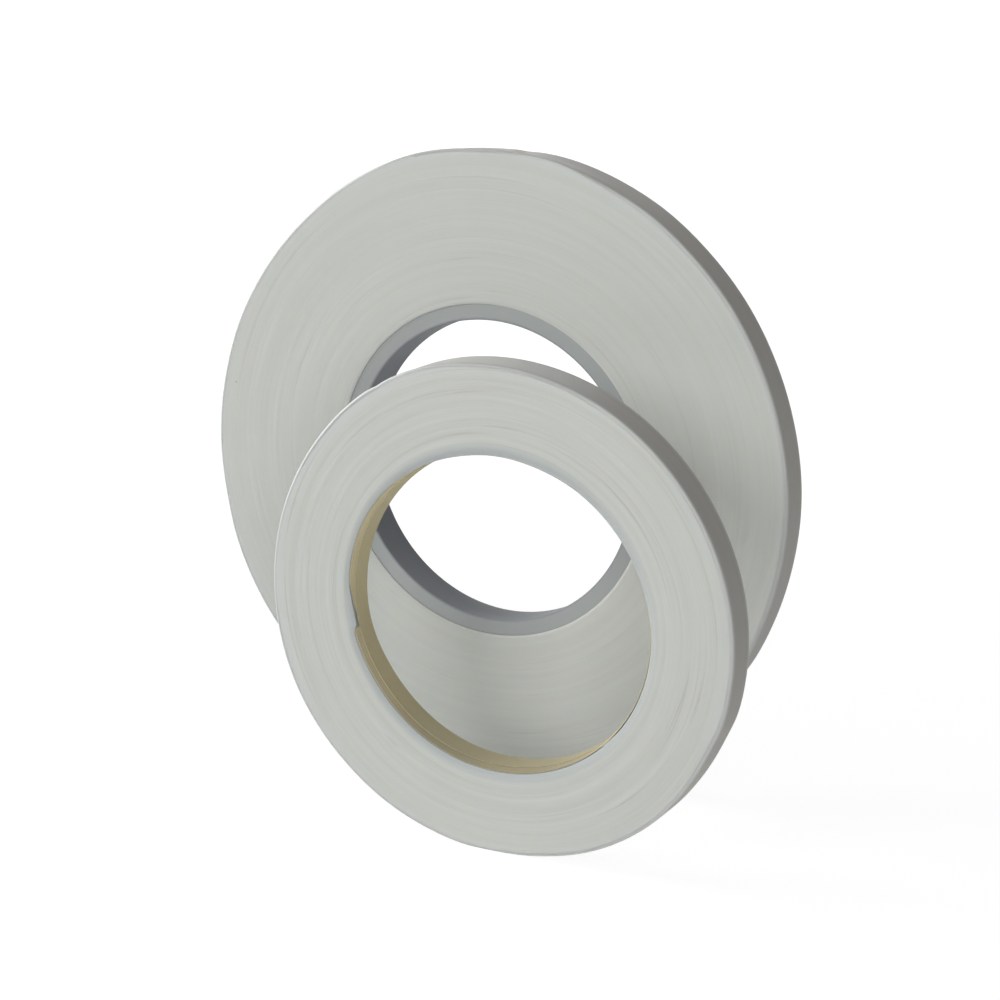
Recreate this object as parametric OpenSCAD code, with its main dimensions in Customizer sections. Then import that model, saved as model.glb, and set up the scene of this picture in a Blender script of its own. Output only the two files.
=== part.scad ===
// A pair of thread seal tape rolls that stand on their rims, one in front of the other.
// The rear roll is wound on a plastic core ring, the front one on two strips of paper.
// Frame: +Z up, the rolls' axes along Y, the front faces towards -Y.
// The origin is on the ground, under the middle of the rear roll.

/* [Tape] */
// Width of the tape, and so of both rolls
tape_w = 9.5; // [6:0.5:19]
// Thickness of the strip in the outer turn
tape_t = 0.25; // [0.1:0.05:0.3]
// Gap that the free end leaves over the start of the outer turn
turn_gap = 0.45; // [0.45:0.05:0.8]
// Length of the free end, from its root to its cut edge
end_len = 29; // [15:1:45]

/* [Rear roll] */
// Outside diameter of the rear roll
rear_d = 157; // [140:1:200]
// Bore of the core ring, which takes a spindle
core_bore_d = 76; // [70:1:80]
// Wall of the core ring
core_wall = 4; // [2:0.5:6]
// How much longer the core ring is than the tape is wide
core_extra = 0.5; // [0:0.1:2]
// Turns that show on the faces of the rear roll
rear_turns = 24; // [12:1:24]
// Where the free end has its root, from +X towards +Z
rear_end_angle = 105; // [95:1:150]

/* [Front roll] */
// Outside diameter of the front roll
front_d = 117; // [100:1:140]
// Bore of the wound tape, which the paper strips line
front_bore_d = 77.8; // [72:0.2:82]
// Turns that show on the faces of the front roll
front_turns = 16; // [8:1:20]
// Where the free end has its root, from +X towards +Z
front_end_angle = 150; // [95:1:160]
// Offset of the front roll's axis to the right of the rear one's
front_x = 26.8; // [0:0.1:60]
// Distance between the middles of the rolls, along their axes
front_gap = 47.9; // [20:0.1:120]

/* [Paper strips] */
// Thickness of a paper strip
strip_t = 0.25; // [0.1:0.05:0.4]
// Margin between the outer strip's front edge and the front face of the roll
strip_margin = 1.2; // [0.3:0.1:1.5]
// How far the inner strip lies behind the outer one, along the axis
strip_creep = 1.8; // [0:0.1:2]
// Where the outer strip has its square end, from +X towards +Z
square_end_angle = 193; // [150:1:220]
// Where the ends of the inner strip meet, from +X towards +Z
inner_joint_angle = 45; // [0:1:90]

/* [Hidden] */
$fn = 180;

// Depth of the flat that each roll stands on
flat_depth = 0.5;
// Gap between a strip and what it lies on within one roll
seat_gap = 0.05;
// Gap across the root of a free end
root_gap = 0.1;
// How far a cut runs past the face that it opens
overrun = 1;
// Core ring: how far its front end lies inside the tape's face, and the bevel of its edges
core_inset = 0.6;
core_bevel = 0.4;
// Seam between the turns that show on a face
seam_w = 0.3;
seam_depth = 0.25;
// Round edge of the wound tape at its bore
rear_bore_edge_r = 0.6;
front_bore_edge_r = 1.2;
// Margin between the inner strip's rear edge and the rear face of the roll
strip_rear_margin = 0.3;
// Gap between the two paper strips
strip_gap = 0.15;
// Angle between the ends of a paper strip, and the angle that the outer strip's slanted corner spans
end_gap_angle = 5;
slant_angle = 11;
// How far the slanted corner reaches under the inner strip
slant_cover = 0.4;
// Angle between the points on which the gaps are measured
sample_angle = 1;

rear_r = rear_d / 2;
front_r = front_d / 2;
turn_pitch = tape_t + turn_gap;
half_pitch = turn_pitch / 2;
core_r = core_bore_d / 2 + core_wall;
rear_bore_r = core_r + seat_gap;
front_bore_r = front_bore_d / 2;
outer_strip_r = front_bore_r - seat_gap;
inner_strip_r = outer_strip_r - strip_t - strip_gap;
strip_w = tape_w - strip_margin - strip_creep - strip_rear_margin;

// Point on the outer turn, at an angle along the winding from its start
function turn_point(r, along) =
    along <= 180 ? r * [cos(along), -sin(along)]
  : along <= 360 ? [half_pitch, 0] + (r + half_pitch) * [cos(along), -sin(along)]
  : (r + turn_pitch) * [cos(along), -sin(along)];

// Angle that the free end spans on a roll of a given radius
function end_span(r) = end_len / (r + turn_pitch) * 180 / PI;

// Least distance between the start of an outer turn and the free end that lies over it
function least_turn_gap(r) =
    min([for (i = [0:sample_angle:end_span(r)], j = [0:sample_angle:end_span(r)])
        norm(turn_point(r, i) - turn_point(r - tape_t, 360 + j))]);

echo(str("least gap of the rear outer turn to itself: ", least_turn_gap(rear_r), " mm"));
echo(str("least gap of the front outer turn to itself: ", least_turn_gap(front_r), " mm"));

// Places one roll: its axis at the origin of the children, its front face at their y = 0
module rear_place() {
    translate([0, -tape_w / 2, rear_r - flat_depth]) children();
}

module front_place() {
    translate([front_x, -front_gap - tape_w / 2, front_r - flat_depth]) children();
}

// Extrudes an outline that is drawn as seen from the front, from y to y + w
module along_axis(y, w) {
    translate([0, y + w, 0]) rotate([90, 0, 0]) linear_extrude(w) children();
}

// Sweeps a profile, drawn as radius and depth, about the roll's axis
module round_axis(start = 0, span = 360) {
    rotate([90, 0, 0]) mirror([0, 0, 1]) rotate([0, 0, start]) rotate_extrude(angle = span) children();
}

// Outline of the winding at one radius: two half circles about two centres make an open spiral,
// which starts at the given angle, winds clockwise and ends one pitch further out
module turn_outline(r, start) {
    span = 2 * (r + turn_pitch);
    rotate(start) {
        intersection() {
            circle(r);
            translate([-span, -span]) square([2 * span, span]);
        }
        translate([half_pitch, 0]) intersection() {
            circle(r + half_pitch);
            translate([-span, 0]) square([2 * span, span]);
        }
    }
}

// Outline of the winding, cut flat at a height above the ground
module standing_outline(r, start, roll_r, lift) {
    span = 2 * (roll_r + turn_pitch);
    intersection() {
        turn_outline(r, start);
        translate([-span, lift - roll_r + flat_depth]) square([2 * span, 2 * span]);
    }
}

// Last full turn of tape, open at its start and at the root of the free end: its inside starts
// a little further along the winding than its outside, so no wall is left between the two ends
module outer_turn(roll_r, start) {
    gap_angle = root_gap / roll_r * 180 / PI;
    along_axis(0, tape_w) difference() {
        standing_outline(roll_r, start, roll_r, 0);
        standing_outline(roll_r - tape_t, start - gap_angle, roll_r, tape_t);
    }
}

// Free end, which lies over the start of the outer turn
module tape_end(roll_r, start) {
    r = roll_r + turn_pitch;
    gap_angle = root_gap / r * 180 / PI;
    span = end_span(roll_r);
    round_axis(start - span, span - gap_angle)
        translate([r - tape_t, 0]) square([tape_t, tape_w]);
}

// Seam between the turns on one face: half circles about two centres, as in turn_outline
module face_seam(bore_r, rim_r, turns, start) {
    step = (rim_r - bore_r) / (turns + 1);
    for (k = [0:2 * turns - 1]) {
        r = bore_r + step / 2 + k * step / 2;
        shift = k % 2 * step / 2;
        rotate([0, -start, 0]) translate([shift, 0, 0])
            round_axis(k % 2 * 180 - 180, 180)
                translate([r - seam_w / 2, -overrun]) square([seam_w, seam_depth + overrun]);
    }
}

// Round edge at the bore, cut from one face
module bore_edge(bore_r, edge_r) {
    round_axis() difference() {
        translate([bore_r - overrun, -overrun]) square([edge_r + overrun, edge_r + overrun]);
        translate([bore_r + edge_r, edge_r]) circle(edge_r);
    }
}

// Wound tape under the outer turn
module tape_pack(roll_r, bore_r, turns, start, edge_r) {
    r = roll_r - tape_t - seat_gap;
    difference() {
        along_axis(0, tape_w) difference() {
            standing_outline(r, start, roll_r, tape_t + seat_gap);
            circle(bore_r);
        }
        for (face = [0, 1]) translate([0, face * tape_w, 0]) mirror([0, face, 0]) {
            face_seam(bore_r, r, turns, start);
            bore_edge(bore_r, edge_r);
        }
    }
}

module rear_core() {
    r = core_bore_d / 2;
    low = core_inset;
    high = low + tape_w + core_extra;
    color([0.66, 0.67, 0.68]) rear_place() round_axis() polygon([
        [r, low + core_bevel], [r + core_bevel, low],
        [core_r - core_bevel, low], [core_r, low + core_bevel],
        [core_r, high - core_bevel], [core_r - core_bevel, high],
        [r + core_bevel, high], [r, high - core_bevel]
    ]);
}

module rear_tape_pack() {
    color([0.86, 0.87, 0.85]) rear_place()
        tape_pack(rear_r, rear_bore_r, rear_turns, rear_end_angle, rear_bore_edge_r);
}

module rear_outer_turn() {
    color([0.9, 0.9, 0.88]) rear_place() outer_turn(rear_r, rear_end_angle);
}

module rear_tape_end() {
    color([0.93, 0.93, 0.91]) rear_place() tape_end(rear_r, rear_end_angle);
}

// Paper strip of one turn, open between its ends
module paper_strip(r, start, y) {
    round_axis(start, 360 - end_gap_angle) translate([r - strip_t, y]) square([strip_t, strip_w]);
}

// Corner that is cut off at a slant, drawn as length along the strip and depth
module slanted_corner(r, end, y) {
    half = r * sin(slant_angle / 2);
    deep = y + strip_creep + slant_cover;
    rotate([0, slant_angle / 2 - end, 0]) translate([r + overrun, 0, 0]) rotate([0, -90, 0])
        linear_extrude(strip_t + 2 * overrun) polygon([
            [-half, y], [half, deep], [half + overrun, deep],
            [half + overrun, y - overrun], [-half, y - overrun]
        ]);
}

module front_outer_strip() {
    color([0.76, 0.7, 0.54]) front_place() difference() {
        paper_strip(outer_strip_r, square_end_angle, strip_margin);
        slanted_corner(outer_strip_r, square_end_angle - end_gap_angle, strip_margin);
    }
}

module front_inner_strip() {
    color([0.7, 0.64, 0.48]) front_place()
        paper_strip(inner_strip_r, inner_joint_angle, strip_margin + strip_creep);
}

module front_tape_pack() {
    color([0.86, 0.87, 0.85]) front_place()
        tape_pack(front_r, front_bore_r, front_turns, front_end_angle, front_bore_edge_r);
}

module front_outer_turn() {
    color([0.9, 0.9, 0.88]) front_place() outer_turn(front_r, front_end_angle);
}

module front_tape_end() {
    color([0.93, 0.93, 0.91]) front_place() tape_end(front_r, front_end_angle);
}

rear_core();
rear_tape_pack();
rear_outer_turn();
rear_tape_end();
front_outer_strip();
front_inner_strip();
front_tape_pack();
front_outer_turn();
front_tape_end();
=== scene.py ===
import math

import bmesh
import bpy
from mathutils import Matrix, Vector, noise


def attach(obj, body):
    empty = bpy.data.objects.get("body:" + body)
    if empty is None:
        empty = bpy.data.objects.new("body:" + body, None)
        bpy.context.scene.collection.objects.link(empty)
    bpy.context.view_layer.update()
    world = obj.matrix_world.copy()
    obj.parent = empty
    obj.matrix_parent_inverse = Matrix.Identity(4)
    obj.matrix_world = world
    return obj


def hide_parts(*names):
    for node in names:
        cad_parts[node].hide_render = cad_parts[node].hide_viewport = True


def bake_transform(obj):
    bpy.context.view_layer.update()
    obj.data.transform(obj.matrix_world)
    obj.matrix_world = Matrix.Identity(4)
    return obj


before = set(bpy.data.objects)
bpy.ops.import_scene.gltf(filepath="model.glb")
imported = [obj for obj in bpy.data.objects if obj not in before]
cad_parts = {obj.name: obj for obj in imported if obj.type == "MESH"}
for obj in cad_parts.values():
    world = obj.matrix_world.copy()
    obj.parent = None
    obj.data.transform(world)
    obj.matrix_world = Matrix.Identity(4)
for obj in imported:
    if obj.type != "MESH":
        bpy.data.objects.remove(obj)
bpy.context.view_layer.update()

mm = 0.001

# each roll, in mm and degrees: place is the middle of its front face, endAngle the root of its free end,
# outline how it leaves the true circle, flare how far its loose outer turns stand out at the front face
rearRoll = {
    "name": "rear", "place": (0.0, -4.75, 78.0), "width": 9.5, "rim": 78.74,
    "endAngle": 105.0, "endSpan": 19.0, "tipLift": 0.0, "bodies": ("rear_roll", "rear_end"),
    "outline": {0: 0.17, 12: 0.04, 24: 0.05, 36: 0.23, 48: 0.27, 57: 0.47, 66: 0.4, 78: 0.27,
                84: -0.07, 91: -0.38, 102: -0.15, 114: -0.03, 122: -0.12, 132: -0.52, 144: -0.64,
                156: -0.5, 168: -0.42, 180: -0.12, 192: 0.06, 200: 0.6, 212: 0.85, 230: 0.7,
                255: 0.2, 285: 0.2, 310: 0.6, 328: 0.65, 337: 0.3, 348: 0.1},
    "flare": {0: 0, 60: 0, 66: 0.08, 71: 0.45, 76: 1.05, 81: 1.2, 90: 1.25, 102: 1.25, 108: 1.0,
              114: 0.5, 120: 0.2, 127: 0.03, 132: 0, 140: 0, 250: 0},
}
frontRoll = {
    "name": "front", "place": (26.8, -52.65, 58.0), "width": 9.5, "rim": 58.87,
    "endAngle": 150.0, "endSpan": 27.8, "tipLift": 0.05, "bodies": ("front_roll", "front_end"),
    "outline": {0: 0.5, 20: 0.1, 40: -0.2, 60: -0.25, 76: -0.1, 84: 0.07, 96: 0.38, 108: 0.7,
                130: 1.0, 150: 1.1, 180: 1.35, 204: 1.44, 216: 1.15, 228: 0.78, 240: 0.54, 252: 0.24,
                264: 0.12, 280: -0.2, 294: 0.35, 312: 0.65, 324: 0.42, 336: 0.35, 343: 0.75, 352: 0.6},
    "flare": {0: 0, 80: 0, 94: 0, 102: 0.2, 110: 0.4, 118: 0.4, 130: 0.2, 142: 0, 200: 0, 300: 0},
}
rolls = (rearRoll, frontRoll)
tape = {
    "thick": 0.2, "gap": 0.01,             # one layer, and the air under it
    "shoulder": 0.75, "edgeInset": 0.01,   # round of the rim at both faces
    "settle": 4.0,                         # degrees in which the outer turn dips under the free end
    "flareDepth": 6.0,                     # nothing flares further back than this
    "sink": 0.4, "flatEdge": 0.3,          # the flat underneath: how far below z = 0, and its soft edge
    "underside": 0.5,                      # share of the radius under the axis, from which the flat may start
}


def angleOf(co):   # from +X towards +Z, in degrees, as seen from the front
    return math.degrees(math.atan2(co.z, co.x)) % 360


def eased(share):
    share = min(max(share, 0.0), 1.0)
    return share * share * (3 - 2 * share)


def curveAt(table, angle):   # smooth curve through the listed angles, round the full turn
    stops = sorted(table)
    count = len(stops)
    place = next((i for i, stop in enumerate(stops) if stop > angle % 360), count)
    picks = [(stops[(place + k) % count] + 360 * ((place + k) // count), table[stops[(place + k) % count]])
             for k in (-2, -1, 0, 1)]
    (a0, v0), (a1, v1), (a2, v2), (a3, v3) = picks
    share = (angle % 360 - a1) / (a2 - a1)
    slope1 = (v2 - v0) / (a2 - a0) * (a2 - a1)
    slope2 = (v3 - v1) / (a3 - a1) * (a2 - a1)
    s2, s3 = share * share, share ** 3
    return (v1 * (2 * s3 - 3 * s2 + 1) + slope1 * (s3 - 2 * s2 + share)
            + v2 * (3 * s2 - 2 * s3) + slope2 * (s3 - s2))


readings = {}


def tableAt(table, angle):   # each reading is kept, because a spun piece asks for the same angles often
    key = id(table), round(angle, 3)
    if key not in readings:
        readings[key] = curveAt(table, angle)
    return readings[key]


def rimAt(roll, angle):   # radius of the roll's outside, free end included
    return roll["rim"] + tableAt(roll["outline"], angle)


def turnAt(roll, angle):   # radius of the outer turn's outside, which dips under the free end
    along = (roll["endAngle"] - angle) % 360
    under = 1 - eased((along - roll["endSpan"]) / tape["settle"])
    return rimAt(roll, angle) - (tape["thick"] + tape["gap"]) * under


def standing(roll, radius, angle, lift):   # keeps a point above the flat that the roll stands on
    down = -math.sin(math.radians(angle))
    if down <= tape["underside"]:
        return radius
    flat = (roll["place"][2] + tape["sink"] - lift) / down
    return (radius + flat - math.hypot(radius - flat, tape["flatEdge"])) / 2


def shoulderDrop(depth, width):   # how far the rim falls away near either face
    edge = max(min(depth, width - depth), tape["edgeInset"])
    reach = tape["shoulder"]
    if edge >= reach:
        return 0.0
    return reach - math.sqrt(reach * reach - (reach - edge) ** 2)


def depthFade(depth):   # 1 at the front face
    return max(1 - depth / tape["flareDepth"], 0.0)


def flareAt(roll, angle, depth):   # outward push of the outer turns, strongest at the front face
    return max(tableAt(roll["flare"], angle), 0.0) * depthFade(depth) ** 2


def gathered(share, pull=0.85):   # moves evenly spaced rows towards both ends
    return share - pull * math.sin(2 * math.pi * share) / (2 * math.pi)


# mesh helpers

sharpAngle = 38.0   # degrees past which an edge stays a crease
cutNormal = 0.6     # a face that looks along the axis more than this is a cut edge


def section(inner, outer, low, high):   # a rectangle in the plane of radius and depth
    bm = bmesh.new()
    corners = ((inner, low, 0), (outer, low, 0), (outer, high, 0), (inner, high, 0))
    bm.faces.new([bm.verts.new(corner) for corner in corners])
    return bm


def outlineOnly(bm):   # a section that is spun must have no inside
    bmesh.ops.delete(bm, geom=bm.faces[:], context="FACES_ONLY")


def cutLong(bm, axis, cuts, share=0.5):   # divides the long edges of the section that run along one axis
    lengths = {edge: abs((edge.verts[0].co - edge.verts[1].co)[axis]) for edge in bm.edges}
    longest = max(lengths.values())
    edges = [edge for edge, length in lengths.items() if length > share * longest]
    bmesh.ops.subdivide_edges(bm, edges=edges, cuts=cuts)


def spinRound(bm, start, turn, steps, sectors=6, weld=0.002):   # a positive turn is clockwise from the front
    tilt = Matrix.Rotation(-math.radians(start), 3, "Y")
    bmesh.ops.rotate(bm, verts=bm.verts, cent=(0, 0, 0), matrix=tilt)
    sweep = math.radians(turn) / sectors   # one sector is swept, then copied round
    bmesh.ops.spin(bm, geom=bm.verts[:] + bm.edges[:], cent=(0, 0, 0), axis=(0, 1, 0),
                   angle=sweep, steps=steps // sectors)
    bmesh.ops.spin(bm, geom=bm.verts[:] + bm.edges[:] + bm.faces[:], cent=(0, 0, 0), axis=(0, 1, 0),
                   angle=sweep * (sectors - 1), steps=sectors - 1, use_duplicate=True)
    bmesh.ops.remove_doubles(bm, verts=bm.verts, dist=weld)
    if abs(turn) < 360:
        bmesh.ops.holes_fill(bm, edges=[e for e in bm.edges if e.is_boundary], sides=0)
    bmesh.ops.recalc_face_normals(bm, faces=bm.faces)


def markCutEdges(bm):   # cut edges take the second material
    for face in bm.faces:
        if abs(face.normal.y) > cutNormal:
            face.material_index = 1


def finishPiece(name, bm, place, materials, nodes, creased=True):
    bmesh.ops.translate(bm, verts=bm.verts, vec=place)
    bmesh.ops.scale(bm, verts=bm.verts, vec=(mm, mm, mm))
    mesh = bpy.data.meshes.new(name)
    bm.to_mesh(mesh)
    bm.free()
    piece = bpy.data.objects.new(name, mesh)
    bpy.context.scene.collection.objects.link(piece)
    for material in materials:
        mesh.materials.append(material)
    mesh.shade_smooth()
    if creased:
        mesh.set_sharp_from_angle(angle=math.radians(sharpAngle))
    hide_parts(*nodes)
    print(name, len(mesh.polygons), "faces")
    return piece


# node helpers

nodeGrid = {"left": -1600, "stepX": 180, "stepY": -220, "rows": 5}
noiseMiddle = 0.5
soft = "SMOOTHSTEP"


def addNode(tree, kind, inputs=None, **settings):
    item = tree.nodes.new(kind)
    count = len(tree.nodes)
    row = count % nodeGrid["rows"]
    item.location = (nodeGrid["left"] + count * nodeGrid["stepX"], row * nodeGrid["stepY"])
    for key, value in settings.items():
        setattr(item, key, value)
    for key, value in (inputs or {}).items():
        if isinstance(value, bpy.types.NodeSocket):
            tree.links.new(value, item.inputs[key])
        else:
            item.inputs[key].default_value = value
    return item


def addMath(tree, operation, *values, clamp=False):
    inputs = dict(enumerate(values))
    return addNode(tree, "ShaderNodeMath", inputs, operation=operation, use_clamp=clamp).outputs[0]


def addVector(tree, operation, inputs, output=0):
    return addNode(tree, "ShaderNodeVectorMath", inputs, operation=operation).outputs[output]


def noiseAt(tree, spot, values):
    return addNode(tree, "ShaderNodeTexNoise", {"Vector": spot, **values}).outputs["Fac"]


def mapped(tree, value, low, high, start=0.0, end=1.0, kind="LINEAR"):
    inputs = {"Value": value, "From Min": low, "From Max": high, "To Min": start, "To Max": end}
    return addNode(tree, "ShaderNodeMapRange", inputs, interpolation_type=kind).outputs[0]


def mixColour(tree, share, first, second):
    mix = addNode(tree, "ShaderNodeMix", {"Factor": share}, data_type="RGBA")
    for key, value in ((6, first), (7, second)):   # the two colour sockets
        if isinstance(value, bpy.types.NodeSocket):
            tree.links.new(value, mix.inputs[key])
        else:
            mix.inputs[key].default_value = (*value, 1)
    return mix.outputs[2]


def addBump(tree, shader, height, values):
    bump = addNode(tree, "ShaderNodeBump", {"Height": height, **values})
    tree.links.new(bump.outputs[0], shader.inputs["Normal"])


def newGroup(name, inputs, outputs):   # every group reads a position, and numbers besides
    group = bpy.data.node_groups.new(name, "ShaderNodeTree")
    group.interface.new_socket("Centred", in_out="INPUT", socket_type="NodeSocketVector")
    for label, value in inputs.items():
        socket = group.interface.new_socket(label, in_out="INPUT", socket_type="NodeSocketFloat")
        socket.default_value = value
    for label in outputs:
        group.interface.new_socket(label, in_out="OUTPUT", socket_type="NodeSocketFloat")
    return group, addNode(group, "NodeGroupInput").outputs, addNode(group, "NodeGroupOutput").inputs


def newMaterial(name, values):
    material = bpy.data.materials.new(name)
    material.use_nodes = True
    tree = material.node_tree
    tree.nodes.clear()
    shader = addNode(tree, "ShaderNodeBsdfPrincipled", values)
    addNode(tree, "ShaderNodeOutputMaterial", {"Surface": shader.outputs[0]})
    return material, tree, shader


def centredOn(tree, place):   # object coordinates, moved to a roll's axis
    source = addNode(tree, "ShaderNodeTexCoord").outputs["Object"]
    back = [-c * mm for c in place]
    return addNode(tree, "ShaderNodeMapping", {"Vector": source, "Location": back}).outputs[0]


# wound turns and dirt, shared by the materials

windingLook = {
    "broad": {"Scale": 0.55, "Detail": 3.0, "Roughness": 0.6}, "broadShare": 0.6,
    "fine": {"Scale": 3.2, "Detail": 3.0, "Roughness": 0.7}, "fineShare": 0.4,
    "arcs": {"Scale": 0.4, "Detail": 1.5, "Roughness": 0.5}, "patch": {"Scale": 1.7, "Detail": 1.0},
    "drift": 0.7, "lineWidth": 0.02, "patchRange": (0.42, 0.62), "lineDepth": 0.35,
}


def windingGroup():   # uneven turns: Face 1 reads the radius, 0 reads the depth
    look = windingLook
    group, given, out = newGroup(
        "windingLines", {"Face": 1.0, "Drift": look["drift"], "Line Width": look["lineWidth"]},
        ("Tone", "Line", "Height", "Radius", "Across"))
    axes = addNode(group, "ShaderNodeSeparateXYZ", {0: given["Centred"]}).outputs
    flat = addNode(group, "ShaderNodeCombineXYZ", {"X": axes["X"], "Z": axes["Z"]}).outputs[0]
    radius = addMath(group, "MULTIPLY", addVector(group, "LENGTH", {0: flat}, "Value"), 1 / mm)
    depth = addMath(group, "MULTIPLY", axes["Y"], 1 / mm)
    across = addMath(group, "MULTIPLY_ADD", addMath(group, "SUBTRACT", radius, depth), given["Face"], depth)
    way = addVector(group, "NORMALIZE", {0: flat})
    way = addVector(group, "SCALE", {0: way, "Scale": given["Drift"]})
    lift = addNode(group, "ShaderNodeCombineXYZ", {"Y": across}).outputs[0]
    spot = addVector(group, "ADD", {0: way, 1: lift})
    arcs = noiseAt(group, spot, look["arcs"])
    off = addMath(group, "ABSOLUTE", addMath(group, "SUBTRACT", arcs, noiseMiddle))
    near = addMath(group, "SUBTRACT", 1.0, addMath(group, "DIVIDE", off, given["Line Width"]), clamp=True)
    shown = mapped(group, noiseAt(group, spot, look["patch"]), *look["patchRange"])
    line = addMath(group, "MULTIPLY", near, shown)
    broad = addMath(group, "MULTIPLY", noiseAt(group, spot, look["broad"]), look["broadShare"])
    fine = addMath(group, "MULTIPLY", noiseAt(group, spot, look["fine"]), look["fineShare"])
    tone = addMath(group, "ADD", broad, fine)
    height = addMath(group, "SUBTRACT", tone, addMath(group, "MULTIPLY", line, look["lineDepth"]))
    results = {"Tone": tone, "Line": line, "Height": height, "Radius": radius, "Across": across}
    for label, socket in results.items():
        group.links.new(socket, out[label])
    return group


speckLook = {"spacing": 15.0, "size": 0.4, "share": 0.4, "hardShare": 0.4}   # spacing and size in mm


def speckGroup():   # sparse small dirt spots
    look = speckLook
    group, given, out = newGroup(
        "dirtSpecks", {"Spacing": look["spacing"], "Size": look["size"], "Share": look["share"]}, ("Mask",))
    scale = addMath(group, "DIVIDE", 1 / mm, given["Spacing"])
    cells = addNode(group, "ShaderNodeTexVoronoi", {"Vector": given["Centred"], "Scale": scale}).outputs
    distance = addMath(group, "MULTIPLY", cells["Distance"], given["Spacing"])
    hard = addMath(group, "MULTIPLY", given["Size"], look["hardShare"])
    spot = mapped(group, distance, hard, given["Size"], 1.0, 0.0)
    chance = addNode(group, "ShaderNodeSeparateColor", {0: cells["Color"]}).outputs[0]
    kept = addMath(group, "LESS_THAN", chance, given["Share"])
    group.links.new(addMath(group, "MULTIPLY", spot, kept), out["Mask"])
    return group


winding = windingGroup()
specks = speckGroup()


# finishes

tapeLook = {
    "light": (0.70, 0.72, 0.69), "dark": (0.63, 0.64, 0.604), "line": (0.52, 0.505, 0.455),
    # painted shade: the rim's tones are darker and warmer than the face's, for the shade on the tape's
    # outside
    "rimLight": (0.565, 0.55, 0.515), "rimDark": (0.525, 0.508, 0.47),
    # painted light: both edges of the rim are lighter, for light shining through the tape's edges
    "rimEdgeLight": {"tint": (0.69, 0.705, 0.68), "reach": (0.1, 1.8)},
    # painted shade on the rear roll's top and painted light on the front roll's, on the rim and along its
    # edges
    "paintedTop": {"reach": (0.86, 0.985),   # heights above the axis, as shares of the rim's radius
              "tint": {"rear": (0.43, 0.42, 0.40), "front": (0.66, 0.655, 0.64)},
              "edge": {"rear": (0.48, 0.475, 0.455), "front": (0.51, 0.515, 0.5)}},
    "rimMargin": {"tint": (0.705, 0.735, 0.72), "reach": 2.0, "share": {"rear": 0.6, "front": 0.6}},
    # painted shade: the face greys round the front roll's bore, for the shade on its rounded margin
    "boreMarginShade": {"tint": (0.49, 0.53, 0.54), "reach": 2.6, "share": {"rear": 0.0, "front": 0.8}},
    "speck": (0.36, 0.28, 0.17), "speckShare": 0.7,
    "grain": {"Scale": 1900.0, "Detail": 2.0, "Roughness": 0.6}, "grainShare": 0.12,
    "spread": {"rear": 0.28, "front": 0.165},
    "lineShare": {"rear": 0.3, "front": 0.5, "strip": 0.05},
    "bump": {"rear": 0.2, "front": 0.34, "strip": 0.08}, "bumpDepth": 0.00025,
    "toneRange": (0.3, 0.7), "roughRange": (0.42, 0.6),
    "shader": {"Specular IOR Level": 0.35, "Subsurface Radius": (1.0, 0.9, 0.74), "Subsurface Scale": 0.002},
    "depthOfLight": {"rear": 0.4, "front": 0.4, "strip": 0.0},   # one layer is too thin to carry light along
}


def faceMargins(tree, roll, radius, colour):   # lighter and bluer towards the rim, painted shade round a bore with paper
    bore = packs[roll["name"]]["bore"]
    for key, start, way in (("rimMargin", roll["rim"], -1), ("boreMarginShade", bore, 1)):
        margin = tapeLook[key]
        end = start + way * margin["reach"]
        mask = mapped(tree, radius, start, end, margin["share"][roll["name"]], 0.0, soft)
        colour = mixColour(tree, mask, colour, margin["tint"])
    return colour


def rimTones(tree, roll, centred, across, colour):   # painted light at both edges; at the roll's top, painted shade on the rear roll and painted light on the front one
    paintedTop, edge = tapeLook["paintedTop"], tapeLook["rimEdgeLight"]
    inward = addMath(tree, "PINGPONG", across, roll["width"] / 2)
    mask = mapped(tree, inward, *edge["reach"], 1.0, 0.0, soft)
    rise = addNode(tree, "ShaderNodeSeparateXYZ", {0: centred}).outputs["Z"]
    low, high = [share * roll["rim"] * mm for share in paintedTop["reach"]]
    top = mapped(tree, rise, low, high, kind=soft)
    colour = mixColour(tree, top, colour, paintedTop["tint"][roll["name"]])
    edgeColour = mixColour(tree, top, edge["tint"], paintedTop["edge"][roll["name"]])
    return mixColour(tree, mask, colour, edgeColour)


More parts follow.
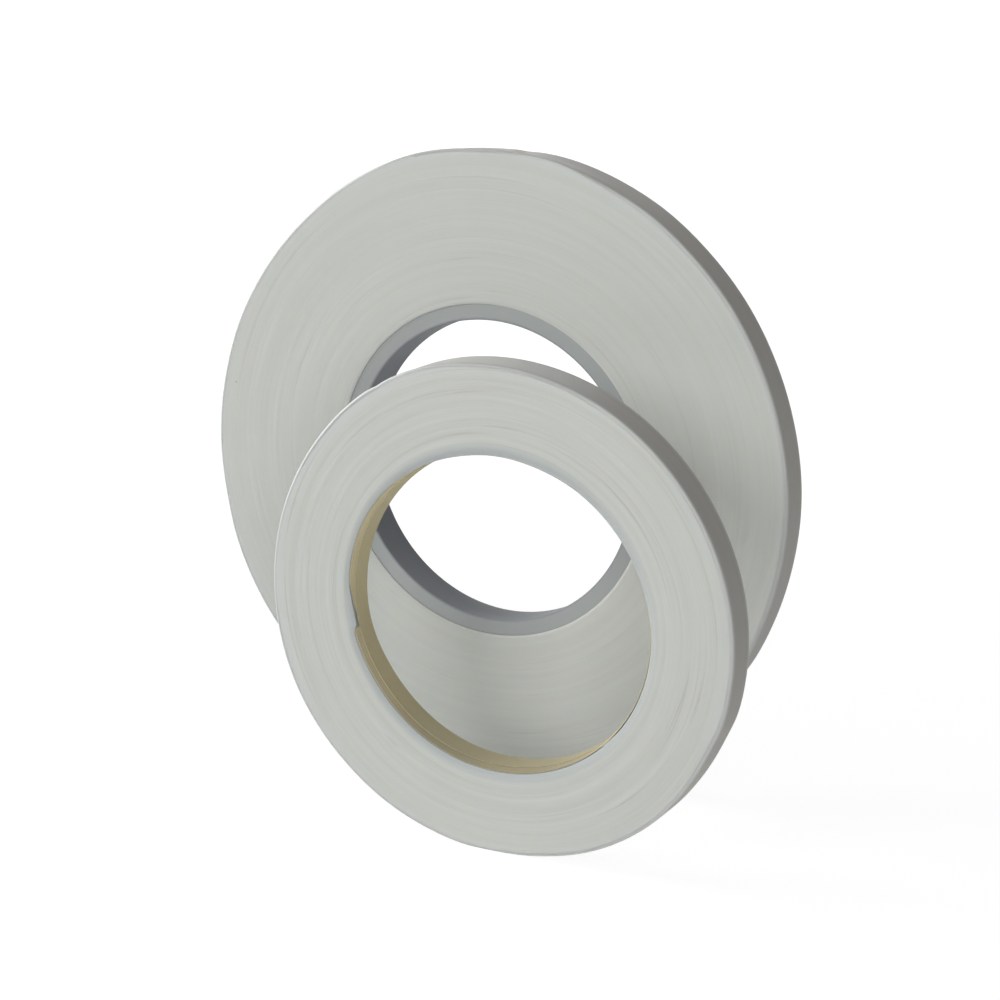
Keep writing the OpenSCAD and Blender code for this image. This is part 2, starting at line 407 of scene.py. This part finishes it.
def tapeMaterial(name, roll, face):   # face is true for the wound faces, false for the flat of the strip
    look = tapeLook
    part = roll["name"] if face else "strip"
    material, tree, shader = newMaterial(name, look["shader"])
    shader.inputs["Subsurface Weight"].default_value = look["depthOfLight"][part]
    centred = centredOn(tree, roll["place"])
    values = {"Centred": centred, "Face": 1.0 if face else 0.0}
    turns = addNode(tree, "ShaderNodeGroup", values, node_tree=winding).outputs
    dirt = addNode(tree, "ShaderNodeGroup", {"Centred": centred}, node_tree=specks).outputs["Mask"]
    grain = addMath(tree, "SUBTRACT", noiseAt(tree, centred, look["grain"]), noiseMiddle)
    tone = addMath(tree, "MULTIPLY_ADD", grain, look["grainShare"], turns["Tone"])
    reach = look["spread"][roll["name"]]
    spread = mapped(tree, tone, noiseMiddle - reach, noiseMiddle + reach)
    if face:
        colour = mixColour(tree, spread, look["dark"], look["light"])
        colour = faceMargins(tree, roll, turns["Radius"], colour)
    else:
        # the rim's darker, warmer tones are painted shade
        colour = mixColour(tree, spread, look["rimDark"], look["rimLight"])
        colour = rimTones(tree, roll, centred, turns["Across"], colour)
    lines = addMath(tree, "MULTIPLY", turns["Line"], look["lineShare"][part])
    colour = mixColour(tree, lines, colour, look["line"])
    colour = mixColour(tree, addMath(tree, "MULTIPLY", dirt, look["speckShare"]), colour, look["speck"])
    tree.links.new(colour, shader.inputs["Base Color"])
    rough = mapped(tree, turns["Tone"], *look["toneRange"], *look["roughRange"])
    tree.links.new(rough, shader.inputs["Roughness"])
    addBump(tree, shader, turns["Height"], {"Strength": look["bump"][part], "Distance": look["bumpDepth"]})
    return material


coreLook = {
    "light": (0.45, 0.475, 0.475), "dark": (0.425, 0.445, 0.445),
    "bore": (0.33, 0.347, 0.374), "boreRadius": (38.25, 38.7),   # the bore wall is painted darker and bluer than the end faces: painted shade inside the ring
    "cloud": {"Scale": 60.0, "Detail": 4.0, "Roughness": 0.6}, "roughRange": (0.52, 0.7),
    "grain": {"Scale": 1400.0, "Detail": 2.0}, "bump": {"Strength": 0.15, "Distance": 0.0001},
    "shader": {"Specular IOR Level": 0.12},
}


def coreMaterial(roll):
    look = coreLook
    across, upward = packs[roll["name"]]["boreShift"]
    material, tree, shader = newMaterial("corePlastic", look["shader"])
    centred = centredOn(tree, Vector(roll["place"]) + Vector((across, 0, upward)))
    cloud = noiseAt(tree, centred, look["cloud"])
    turns = addNode(tree, "ShaderNodeGroup", {"Centred": centred}, node_tree=winding).outputs
    colour = mixColour(tree, cloud, look["dark"], look["light"])
    boreShadeMask = mapped(tree, turns["Radius"], *look["boreRadius"], 1.0, 0.0)
    # painted shade on the bore wall
    colour = mixColour(tree, boreShadeMask, colour, look["bore"])
    tree.links.new(colour, shader.inputs["Base Color"])
    tree.links.new(mapped(tree, cloud, 0.0, 1.0, *look["roughRange"]), shader.inputs["Roughness"])
    addBump(tree, shader, noiseAt(tree, centred, look["grain"]), look["bump"])
    return material


paperLook = {
    # the outer strip is painted lighter and the inner one darker: painted light near the front of the bore,
    # painted shade deeper in
    "outer": ((0.73, 0.64, 0.413), (0.805, 0.71, 0.466)),
    "inner": ((0.63, 0.556, 0.337), (0.72, 0.64, 0.406)),
    "cut": ((0.62, 0.56, 0.38), (0.70, 0.64, 0.46)),
    "cloud": {"Scale": 90.0, "Detail": 4.0, "Roughness": 0.55},
    "fibre": {"Scale": 1500.0, "Detail": 3.0, "Roughness": 0.7},
    "strand": (0.47, 0.40, 0.25), "strandRange": (0.55, 0.75), "strandShare": 0.35,
    "bottomDarkening": (0.36, 0.32, 0.21), "bottomDarkeningRange": (-20.0, -38.0),   # heights under the roll's axis, in mm, over which the paper turns darker
    "bottomDarkeningShare": {"outer": 0.8, "inner": 0.48, "cut": 0.6},
    "bump": {"Strength": 0.2, "Distance": 0.0001},
    "shader": {"Roughness": 0.75, "Specular IOR Level": 0.25, "Sheen Weight": 0.15},
}


def paperMaterial(name, roll, part):
    look = paperLook
    material, tree, shader = newMaterial(name, look["shader"])
    centred = centredOn(tree, roll["place"])
    fibre = noiseAt(tree, centred, look["fibre"])
    colour = mixColour(tree, noiseAt(tree, centred, look["cloud"]), *look[part])
    strands = mapped(tree, fibre, *look["strandRange"], end=look["strandShare"])
    colour = mixColour(tree, strands, colour, look["strand"])
    height = addNode(tree, "ShaderNodeSeparateXYZ", {0: centred}).outputs["Z"]
    darkeningFrom, darkeningTo = [c * mm for c in look["bottomDarkeningRange"]]
    bottomDarkening = mapped(tree, height, darkeningFrom, darkeningTo, end=look["bottomDarkeningShare"][part], kind=soft)
    colour = mixColour(tree, bottomDarkening, colour, look["bottomDarkening"])   # darker at the bottom of the bore
    tree.links.new(colour, shader.inputs["Base Color"])
    addBump(tree, shader, fibre, look["bump"])
    return material


# wound tape

# boreRound: reach and depth of the round margin at the bore, oval: how the bore leaves the true circle,
# lip: how far the front of the tape hangs over the paper, boreShift: the bore's middle at the front face,
# boreLean: how much further it lies at the back
packs = {
    "rear": {"bore": 42.03, "rows": 118, "steps": 240, "boreRound": (0.6, 0.2), "relief": 0.04, "seed": 11.0,
             "boreShift": (0.15, -0.45), "boreLean": (0.4, -0.55),
             "oval": {0: 0.0, 180: 0.0}, "lip": {0: 0.0, 180: 0.0}},
    "front": {"bore": 38.9, "rows": 80, "steps": 240, "boreRound": (1.6, 0.5), "relief": 0.06, "seed": 47.0,
              "boreShift": (0.0, 0.0), "boreLean": (0.0, 0.0),
              "oval": {0: 0.2, 15: 0.1, 30: -0.05, 45: -0.2, 90: -0.4, 120: -0.1, 135: 0.3, 150: 0.72,
                       160: 0.85, 168: 0.82, 176: 0.66, 184: 0.62, 193: 0.62, 212: 0.1, 224: -0.1,
                       250: -0.25, 270: -0.35, 300: -0.25, 315: -0.1, 330: 0.12, 345: 0.2},
              "lip": {0: 0.0, 15: 0.2, 30: 0.42, 45: 0.55, 60: 0.7, 75: 0.85, 90: 0.65, 105: 0.6,
                      120: 0.3, 140: 0.0, 160: 0.0, 175: 0.0, 178: 0.12, 183: 0.62, 188: 1.0,
                      192.5: 1.05, 194.2: 0.0, 198: 0.0, 220: 0.0, 300: 0.0, 345: 0.0}},
}
wound = {
    "depthRows": 20, "seamShift": 0.01, "tiny": 0.001,
    "wideWaves": (0.32, 0.8, 1.2), "closeWaves": (0.95, 0.9, 0.7),   # across the turns, round them, share
    "reliefFade": 1 / 12, "flareFrom": 0.86, "lipReach": 1 / 6,      # shares of the way from bore to rim
    "boreCurve": 1.6, "lipDepth": 0.25,                              # a power, and a depth behind the margin
}


def faceRelief(pack, radius, angle):   # uneven turns, slow round the roll
    turn = math.radians(angle)
    height = 0.0
    for seedAxis, waves in enumerate((wound["wideWaves"], wound["closeWaves"])):
        across, around, share = waves
        spot = Vector((radius * across, math.cos(turn) * around, math.sin(turn) * around))
        spot[seedAxis] += pack["seed"]
        height += share * noise.noise(spot)
    return pack["relief"] * height


def boreShiftAt(pack, depth, width):   # where the bore's middle lies at one depth
    return [c + d * depth / width for c, d in zip(pack["boreShift"], pack["boreLean"])]


def packPoint(roll, pack, co):   # moves a point of the true ring to where the wound tape has it
    width, bore = roll["width"], pack["bore"]
    boreReach, boreDepth = pack["boreRound"]
    radius, angle, depth = math.hypot(co.x, co.z), angleOf(co), co.y
    share = (radius - bore) / (roll["rim"] - bore)   # from the bore to the rim
    onFace = min(depth, width - depth) < wound["tiny"]
    inside = bore + tableAt(pack["oval"], angle)
    outside = turnAt(roll, angle) - tape["thick"] - tape["gap"]
    if onFace:
        outside -= shoulderDrop(0, width)
    newRadius = inside + share * (outside - inside)
    if onFace:
        fade = eased(share / wound["reliefFade"]) * eased((1 - share) / wound["reliefFade"])
        margin = min(max(1 - (radius - bore) / boreReach, 0.0), 1.0)
        inward = faceRelief(pack, newRadius, angle) * fade + boreDepth * margin ** wound["boreCurve"]
        depth += inward if depth < width / 2 else -inward
    elif share < wound["tiny"]:
        depth = boreDepth + gathered(depth / width) * (width - 2 * boreDepth)
    else:
        depth = gathered(depth / width) * width
        newRadius -= shoulderDrop(depth, width)
    newRadius += flareAt(roll, angle, depth) * eased((share - wound["flareFrom"]) / (1 - wound["flareFrom"]))
    over = eased(1 - (depth - boreDepth) / wound["lipDepth"]) * eased(1 - share / wound["lipReach"])
    newRadius -= max(tableAt(pack["lip"], angle), 0.0) * over
    newRadius = standing(roll, newRadius, angle, tape["thick"] + tape["gap"])
    turn = math.radians(angle)
    across, upward = [c * max(1 - share, 0.0) for c in boreShiftAt(pack, depth, width)]
    return newRadius * math.cos(turn) + across, depth, newRadius * math.sin(turn) + upward


def tapePack(roll, material):
    pack = packs[roll["name"]]
    bm = section(pack["bore"], roll["rim"], 0, roll["width"])
    outlineOnly(bm)
    cutLong(bm, 0, pack["rows"])
    cutLong(bm, 1, wound["depthRows"])
    spinRound(bm, roll["endAngle"] - wound["seamShift"], 360, pack["steps"])
    for vert in bm.verts:
        vert.co = packPoint(roll, pack, vert.co)
    name = roll["name"] + "TapePack"
    piece = finishPiece(name, bm, roll["place"], [material], [roll["name"] + "_tape_pack"])
    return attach(piece, roll["bodies"][0])


# outer turn and free end

strips = {
    "bevel": 0.07, "rows": 26, "turnSteps": 360, "endSteps": 60, "rootGap": 0.02,
    "wander": 0.04, "wanderWaves": 2.2,         # how far the strip strays sideways, and how often
    "featherFrom": 0.9, "featherShare": 0.85,   # where the free end starts to thin, and by how much
    "liftFrom": 0.5, "liftFade": 1.5,           # where it starts to stand off, and how that fades backwards
    "bendShare": 0.55,                          # share of the free end at which a second point on it is taken
}


def stripSection(roll):
    bm = section(-tape["thick"], 0, tape["edgeInset"], roll["width"] - tape["edgeInset"])
    bmesh.ops.bevel(bm, geom=bm.verts[:], offset=strips["bevel"], segments=2, profile=0.5,
                    affect="VERTICES", material=-1)
    outlineOnly(bm)
    cutLong(bm, 1, strips["rows"])
    bmesh.ops.translate(bm, verts=bm.verts, vec=(roll["rim"], 0, 0))
    return bm


def shapeStrip(roll, bm, outsideAt, liftAt):
    low = tape["edgeInset"] + strips["bevel"]
    flatWidth = roll["width"] - 2 * low
    waves = strips["wanderWaves"]
    markCutEdges(bm)
    for vert in bm.verts:
        radius, angle, depth = math.hypot(vert.co.x, vert.co.z), angleOf(vert.co), vert.co.y
        under = roll["rim"] - radius
        if low < depth < low + flatWidth:
            depth = low + gathered((depth - low) / flatWidth) * flatWidth
        newRadius = outsideAt(roll, angle) - under - shoulderDrop(depth, roll["width"])
        newRadius += flareAt(roll, angle, depth) + liftAt(roll, angle, depth, under)
        newRadius = standing(roll, newRadius, angle, min(under, tape["thick"]))
        turn = math.radians(angle)
        across, upward = math.cos(turn), math.sin(turn)
        sway = strips["wander"] * noise.noise(Vector((across * waves, upward * waves, roll["rim"])))
        vert.co = (newRadius * across, depth + sway, newRadius * upward)


def noLift(roll, angle, depth, under):
    return 0.0


def endLift(roll, angle, depth, under):   # the front corner stands off the roll, and the cut edge thins out
    along = ((roll["endAngle"] - angle + 180) % 360 - 180) / roll["endSpan"]
    feather = eased((along - strips["featherFrom"]) / (1 - strips["featherFrom"]))
    thinned = (tape["thick"] - under) * strips["featherShare"] * feather
    lift = eased((along - strips["liftFrom"]) / (1 - strips["liftFrom"]))
    return roll["tipLift"] * lift * depthFade(depth) ** strips["liftFade"] - thinned


def outerTurn(roll, materials):
    bm = stripSection(roll)
    spinRound(bm, roll["endAngle"] - strips["rootGap"], 360 - 2 * strips["rootGap"], strips["turnSteps"])
    shapeStrip(roll, bm, turnAt, noLift)
    name = roll["name"] + "OuterTurn"
    piece = finishPiece(name, bm, roll["place"], materials, [roll["name"] + "_outer_turn"])
    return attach(piece, roll["bodies"][0])


def onRim(roll, along):   # a point in the middle of the free end, so many degrees from its root
    angle = roll["endAngle"] - along
    turn, radius = math.radians(angle), rimAt(roll, angle)
    reach = (radius * math.cos(turn), roll["width"] / 2, radius * math.sin(turn))
    return [(c + d) * mm for c, d in zip(roll["place"], reach)]


def tapeEnd(roll, materials):
    bm = stripSection(roll)
    spinRound(bm, roll["endAngle"], roll["endSpan"], strips["endSteps"])
    shapeStrip(roll, bm, rimAt, endLift)
    name = roll["name"] + "TapeEnd"
    piece = finishPiece(name, bm, roll["place"], materials, [roll["name"] + "_tape_end"])
    ends = [onRim(roll, along) for along in (0.0, strips["bendShare"] * roll["endSpan"])]
    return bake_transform(piece)


# core ring of the rear roll

core = {"bore": 38.0, "outside": 42.0, "inset": 0.4, "length": 10.2, "boreEdge": 0.35, "outsideEdge": 0.1,
        "edgeSegments": 4, "rows": 4, "steps": 192}


def coreRing(roll, material):
    bm = section(core["bore"], core["outside"], core["inset"], core["inset"] + core["length"])
    for radius, edge in ((core["bore"], core["boreEdge"]), (core["outside"], core["outsideEdge"])):
        corners = [vert for vert in bm.verts if vert.co.x == radius]
        bmesh.ops.bevel(bm, geom=corners, offset=edge, segments=core["edgeSegments"], profile=0.5,
                        affect="VERTICES", material=-1)
    outlineOnly(bm)
    cutLong(bm, 0, core["rows"])
    cutLong(bm, 1, core["rows"])
    spinRound(bm, 0, 360, core["steps"])
    for vert in bm.verts:   # the ring leans with the bore of the wound tape
        across, upward = boreShiftAt(packs[roll["name"]], vert.co.y, roll["width"])
        vert.co += Vector((across, 0, upward))
    piece = finishPiece("rearCoreRing", bm, roll["place"], [material], ["rear_core"], creased=False)
    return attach(piece, roll["bodies"][0])


# paper strips of the front roll

paper = {"thick": 0.18, "turn": -355.0, "radius": 39.0, "rows": 12, "steps": 288,
         "clearance": 0.02, "lean": 1.5}

# outside: radius by angle, front and rear: depth of the two edges behind the face of the roll
innerPaper = {
    "name": "frontInnerPaper", "node": "front_inner_strip", "start": 45.0,
    "outside": {0: 38.5, 45: 38.3, 90: 38.15, 120: 38.48, 150: 38.96, 164: 39.12, 180: 39.26, 193: 39.26,
                212: 38.74, 224: 38.52, 240: 38.35, 252: 38.12, 264: 37.87, 274: 37.72, 288: 37.8,
                305: 38.0, 330: 38.3},
    "front": {0: 3.0, 90: 3.1, 140: 2.9, 150: 2.7, 157: 2.45, 164: 2.3, 171: 2.65, 180: 2.8, 212: 3.0,
              240: 3.1, 270: 3.0},
    "rear": {0: 9.2, 100: 9.2, 150: 8.8, 165: 8.55, 180: 8.4, 195: 8.45, 215: 8.9, 240: 9.2},
    "slant": None, "inside": None,
}
outerPaper = {
    "name": "frontOuterPaper", "node": "front_outer_strip", "start": 193.4,
    "outside": {0: 38.82, 15: 38.8, 45: 38.65, 90: 38.45, 120: 38.75, 135: 39.15, 150: 39.57, 160: 39.7,
                168: 39.67, 176: 39.51, 184: 39.47, 193: 39.48, 212: 38.96, 224: 38.76, 250: 38.6,
                270: 38.5, 300: 38.52, 315: 38.6, 330: 38.72, 345: 38.8},
    "front": {0: 0.85, 90: 0.9, 150: 0.75, 165: 0.75, 180: 0.75, 200: 0.8, 230: 0.85, 270: 0.95, 300: 0.85},
    "rear": {0: 7.4, 180: 7.4},
    "slant": {"from": 177.0, "to": 188.4, "past": 1.0, "depth": 2.3},   # the corner that is cut off
    "inside": innerPaper["outside"],
}


def paperPoint(strip, co):   # y of the spun section runs from 0 at the front edge to 1 at the rear one
    angle = angleOf(co)
    outside = tableAt(strip["outside"], angle)
    radius = math.hypot(co.x, co.z) + outside - paper["radius"]
    edge = tableAt(strip["front"], angle)
    front = edge
    slant = strip["slant"]
    if slant and slant["from"] < angle < slant["to"] + slant["past"]:
        front += slant["depth"] * (angle - slant["from"]) / (slant["to"] - slant["from"])
    depth = front + co.y * (tableAt(strip["rear"], angle) - front)
    if strip["inside"]:   # leans in until it lies on the strip further in
        slack = outside - tableAt(strip["inside"], angle) - paper["thick"] - paper["clearance"]
        radius -= max(slack, 0.0) * eased((depth - edge) / paper["lean"])
    turn = math.radians(angle)
    return radius * math.cos(turn), depth, radius * math.sin(turn)


def paperStrip(roll, strip, materials):
    bm = section(paper["radius"] - paper["thick"], paper["radius"], 0, 1)
    outlineOnly(bm)
    cutLong(bm, 1, paper["rows"])
    spinRound(bm, strip["start"], paper["turn"], paper["steps"])
    markCutEdges(bm)
    for vert in bm.verts:
        vert.co = paperPoint(strip, vert.co)
    piece = finishPiece(strip["name"], bm, roll["place"], materials, [strip["node"]])
    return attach(piece, roll["bodies"][0])


print("materials")
facePaints = {roll["name"]: tapeMaterial(roll["name"] + "TapeFace", roll, True) for roll in rolls}
stripPaints = {roll["name"]: tapeMaterial(roll["name"] + "TapeStrip", roll, False) for roll in rolls}
paperCut = paperMaterial("paperCutEdge", frontRoll, "cut")
paperOuter = paperMaterial("paperOuter", frontRoll, "outer")
paperInner = paperMaterial("paperInner", frontRoll, "inner")

print("pieces")
for roll in rolls:
    facePaint, stripPaint = facePaints[roll["name"]], stripPaints[roll["name"]]
    tapePack(roll, facePaint)
    outerTurn(roll, [stripPaint, facePaint])
    tapeEnd(roll, [stripPaint, facePaint])
coreRing(rearRoll, coreMaterial(rearRoll))
paperStrip(frontRoll, outerPaper, [paperOuter, paperCut])
paperStrip(frontRoll, innerPaper, [paperInner, paperCut])


# stage, light and camera, in metres

stage = {"floorHalf": 4.0, "floorPaint": (0.8, 0.8, 0.8), "shadowPaint": (0.14, 0.14, 0.14),
         "nearLevel": 0.93, "fade": (0.12, 0.35), "ambient": 0.03, "white": (1.0, 1.0, 1.0)}


def seenByEye(tree):   # camera, mirror and glass rays see the plain white
    path = addNode(tree, "ShaderNodeLightPath").outputs
    seen = addMath(tree, "MAXIMUM", path["Is Camera Ray"], path["Is Glossy Ray"])
    return addMath(tree, "MAXIMUM", seen, path["Is Transmission Ray"])


def floorMaterial():   # plain white away from the rolls, a trace of shadow close to them
    material = bpy.data.materials.new("floorWhite")
    material.use_nodes = True
    tree = material.node_tree
    tree.nodes.clear()
    matte = addNode(tree, "ShaderNodeBsdfDiffuse", {"Color": (*stage["floorPaint"], 1)})
    faint = addNode(tree, "ShaderNodeBsdfDiffuse", {"Color": (*stage["shadowPaint"], 1)})
    source = addNode(tree, "ShaderNodeTexCoord").outputs["Object"]
    reach = addVector(tree, "LENGTH", {0: source}, "Value")
    level = mapped(tree, reach, *stage["fade"], stage["nearLevel"], 1.0, soft)
    glow = addNode(tree, "ShaderNodeEmission", {"Strength": level})
    seen = addNode(tree, "ShaderNodeAddShader", {0: faint.outputs[0], 1: glow.outputs[0]})
    inputs = {0: seenByEye(tree), 1: matte.outputs[0], 2: seen.outputs[0]}
    mix = addNode(tree, "ShaderNodeMixShader", inputs)
    addNode(tree, "ShaderNodeOutputMaterial", {"Surface": mix.outputs[0]})
    return material


def makeFloor():
    bm = bmesh.new()
    place = Matrix.Translation((0, 0, -(tape["sink"] + tape["gap"]) * mm))   # just under the rolls' flats
    bmesh.ops.create_grid(bm, x_segments=2, y_segments=2, size=stage["floorHalf"], matrix=place)
    mesh = bpy.data.meshes.new("floor")
    bm.to_mesh(mesh)
    bm.free()
    mesh.materials.append(floorMaterial())
    floor = bpy.data.objects.new("floor", mesh)
    bpy.context.scene.collection.objects.link(floor)


def makeWorld():
    world = bpy.data.worlds.new("studio")
    bpy.context.scene.world = world
    world.use_nodes = True
    tree = world.node_tree
    tree.nodes.clear()
    white = (*stage["white"], 1)
    dim = addNode(tree, "ShaderNodeBackground", {"Color": white, "Strength": stage["ambient"]})
    plain = addNode(tree, "ShaderNodeBackground", {"Color": white, "Strength": 1.0})
    inputs = {0: seenByEye(tree), 1: dim.outputs[0], 2: plain.outputs[0]}
    mix = addNode(tree, "ShaderNodeMixShader", inputs)
    addNode(tree, "ShaderNodeOutputWorld", {"Surface": mix.outputs[0]})


lamps = {
    "frontPanel": {"way": (-0.337, -0.833, 0.438), "far": 2.2, "size": 1.0,
                   "power": 13.0, "tint": (1.0, 1.0, 0.99)},
    "sidePanel": {"way": (-0.947, -0.083, 0.309), "far": 2.2, "size": 1.1,
                  "power": 28.0, "tint": (1.0, 1.0, 0.985)},
    "highPanel": {"way": (-0.554, -0.149, 0.819), "far": 2.2, "size": 1.1,
                  "power": 11.0, "tint": (1.0, 1.0, 1.0)},
    "eyePanel": {"way": (0.454, -0.853, 0.259), "far": 1.1, "size": 0.56,
                 "power": 3.2, "tint": (1.0, 1.0, 1.0)},
    "backPanel": {"way": (-0.332, 0.912, 0.242), "far": 1.1, "size": 0.56,
                  "power": 1.2, "tint": (1.0, 1.0, 1.0)},
}
aim = Vector((0.012, -0.028, 0.065))


def makeLamps():
    for name, lamp in lamps.items():
        data = bpy.data.lights.new(name, "AREA")
        data.shape, data.size, data.energy, data.color = "SQUARE", lamp["size"], lamp["power"], lamp["tint"]
        light = bpy.data.objects.new(name, data)
        way = Vector(lamp["way"]).normalized()
        light.location = aim + way * lamp["far"]
        light.rotation_euler = (-way).to_track_quat("-Z", "Y").to_euler()
        bpy.context.scene.collection.objects.link(light)


view = {"azimuth": 27.51, "elevation": 15.68, "far": 0.7395, "target": (0.00288, -0.00475, 0.07073),
        "lens": 108.0, "sensor": 36.0, "clip": (0.05, 30.0)}


def makeCamera():
    turn, rise = math.radians(view["azimuth"]), math.radians(view["elevation"])
    back = Vector((math.sin(turn) * math.cos(rise), -math.cos(turn) * math.cos(rise), math.sin(rise)))
    data = bpy.data.cameras.new("camera")
    data.sensor_width, data.lens = view["sensor"], view["lens"]
    data.clip_start, data.clip_end = view["clip"]
    camera = bpy.data.objects.new("camera", data)
    camera.location = Vector(view["target"]) + back * view["far"]
    camera.rotation_euler = (-back).to_track_quat("-Z", "Y").to_euler()
    bpy.context.scene.collection.objects.link(camera)
    bpy.context.scene.camera = camera


print("stage")
makeFloor()
makeWorld()
makeLamps()
makeCamera()
bpy.context.scene.view_settings.view_transform = "Standard"
